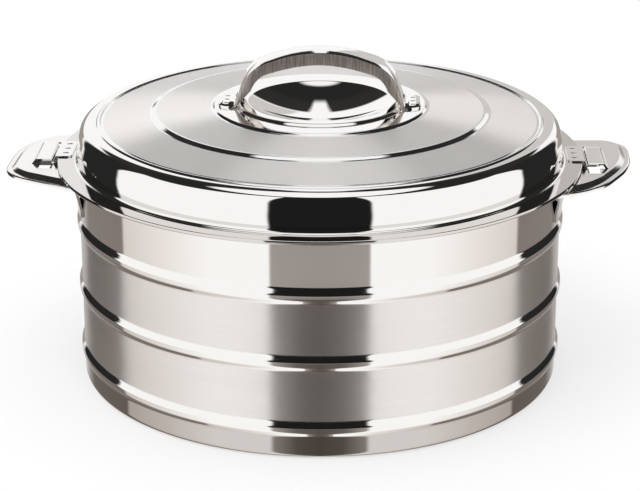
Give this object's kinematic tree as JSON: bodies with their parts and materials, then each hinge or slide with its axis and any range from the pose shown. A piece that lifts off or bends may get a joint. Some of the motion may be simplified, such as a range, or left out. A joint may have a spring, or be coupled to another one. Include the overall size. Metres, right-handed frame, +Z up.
{
  "type": "insulated casserole",
  "caption": "Round double-walled serving casserole with foam insulation, side handles and a lift-off insulated lid that locks with a small twist.",
  "frame": {"origin": "centre of the foot's standing ring, on the surface the pot stands on", "axes": "+Z up along the pot's axis, +X towards the right-hand side handle seen from the front, -Y towards the front"},
  "size_m": [0.3367, 0.282, 0.178],
  "materials": {
    "satin_steel": "stainless steel, fine brushing around the wall, beads polished",
    "bowl_steel": "stainless steel, plain drawn finish",
    "lid_steel": "stainless steel, mirror polished with satin rings",
    "polished_steel": "stainless steel, polished",
    "plug_plastic": "black moulded plastic",
    "foam": "rigid foam, hidden between the walls"
  },
  "bodies": {
    "casserole": {"outer_shell": "satin_steel", "inner_bowl": "bowl_steel", "body_insulation": "foam", "base_plate": "satin_steel", "base_plug": "plug_plastic", "side_handle_right": "polished_steel", "side_handle_left": "polished_steel", "handle_bracket_right": "polished_steel", "handle_bracket_left": "polished_steel"},
    "lid_core": {"lid_insulation": "foam"},
    "lid": {"lid_shell": "lid_steel", "lid_lining": "bowl_steel", "lid_plug": "plug_plastic", "lid_handle": "polished_steel", "lock_tab_right": "polished_steel", "lock_tab_left": "polished_steel"}
  },
  "joints": [
    {"name": "lid_lift", "type": "slide", "parent": "casserole", "child": "lid_core", "axis": [0, 0, 1], "range_m": [0, 0.12]},
    {"name": "lid_turn", "type": "hinge", "parent": "lid_core", "child": "lid", "pos_m": [0, 0, 0.119], "axis": [0, 0, 1], "range_deg": [-14, 0]}
  ]
}
